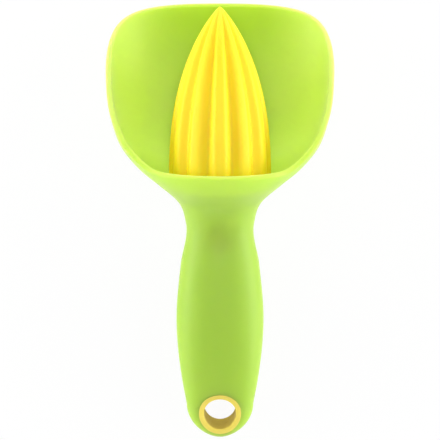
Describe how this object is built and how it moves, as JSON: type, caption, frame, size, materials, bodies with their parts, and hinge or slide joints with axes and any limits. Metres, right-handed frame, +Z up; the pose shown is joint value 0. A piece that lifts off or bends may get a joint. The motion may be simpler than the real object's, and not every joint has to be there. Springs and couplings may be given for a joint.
{
  "type": "handheld citrus squeezer",
  "caption": "Handheld citrus squeezer: a one-piece scoop and grip with a fluted reamer that pulls out of its socket, and a lined hang hole at the handle's end.",
  "frame": {"origin": "under the middle of the bounding box, on the table that the tool lies on", "axes": "+Z up, the way the scoop opens; +Y from the handle's end towards the reamer's tip; +X to the right seen from above. The tool rests on its back, so its own axis rises 11.0 degrees towards the scoop"},
  "size_m": [0.097, 0.1901, 0.058],
  "materials": {
    "body_green": "satin moulded plastic, lime green",
    "core_yellow": "plain moulded plastic, yellow",
    "ring_yellow": "satin moulded plastic, pale yellow",
    "reamer_yellow": "satin moulded plastic, lemon yellow",
    "seal_silicone": "soft silicone, off-white"
  },
  "bodies": {
    "body": {"scoop_handle": "body_green", "handle_core": "core_yellow", "eyelet_front": "ring_yellow", "eyelet_back": "ring_yellow"},
    "reamer_unit": {"reamer": "reamer_yellow", "stem_seal": "seal_silicone"}
  },
  "joints": [
    {"name": "reamer_pull", "type": "slide", "parent": "body", "child": "reamer_unit", "axis": [0, 0.9817, 0.1904], "range_m": [0, 0.105]}
  ]
}
